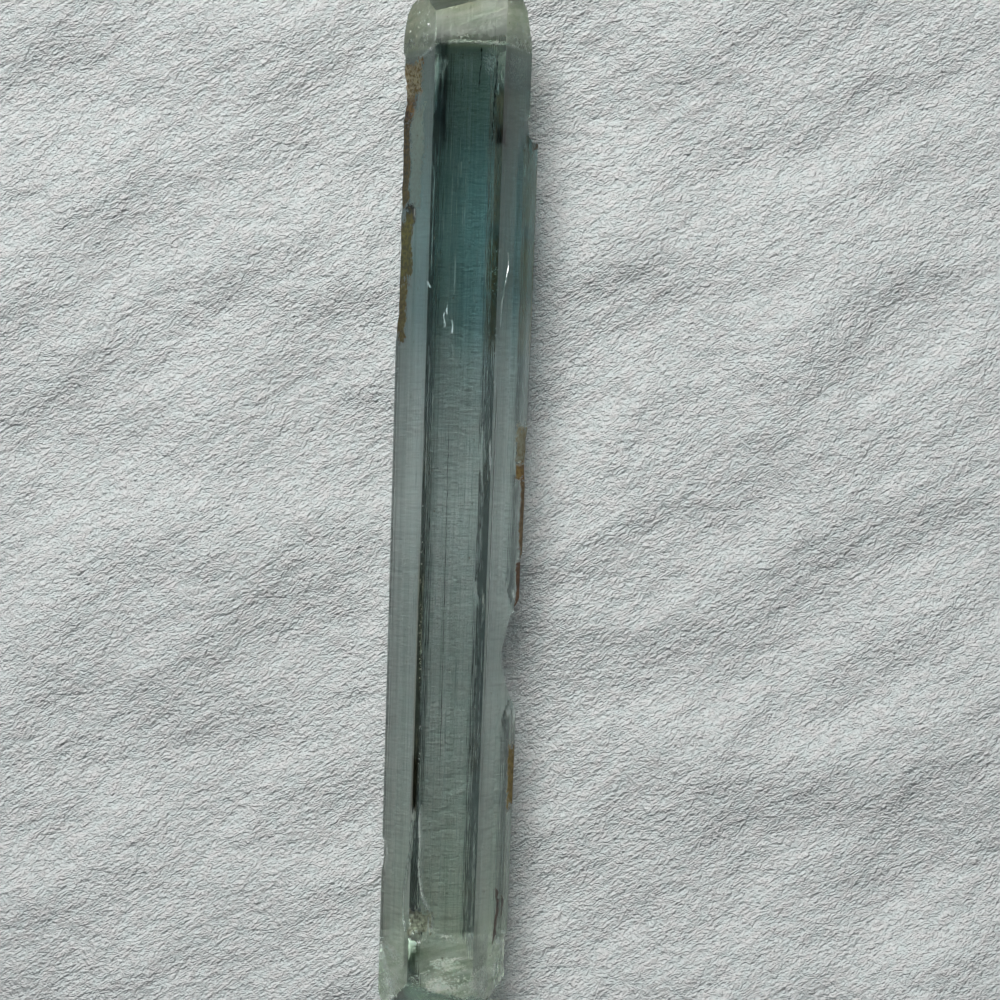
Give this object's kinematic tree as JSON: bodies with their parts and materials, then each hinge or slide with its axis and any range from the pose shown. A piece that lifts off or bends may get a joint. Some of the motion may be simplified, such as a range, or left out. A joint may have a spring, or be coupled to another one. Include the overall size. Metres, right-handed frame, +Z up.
{
  "type": "aquamarine crystal",
  "caption": "Hexagonal aquamarine crystal lying on a prism face, with lengthwise growth layers, slanting broken ends, a notched side plate and an etched hollow.",
  "frame": {"origin": "bottom centre of the bounding box, on the plane of the resting face", "axes": "+Y along the crystal towards its dark blue head, +Z up from the face it lies on, +X across towards the side that carries the notched plate"},
  "size_m": [0.008, 0.0588, 0.0074],
  "materials": {
    "aquamarine": "clear natural crystal with fine lengthwise striations and patches of iron stain"
  },
  "bodies": {
    "root": {"crystal": "aquamarine"}
  },
  "joints": []
}
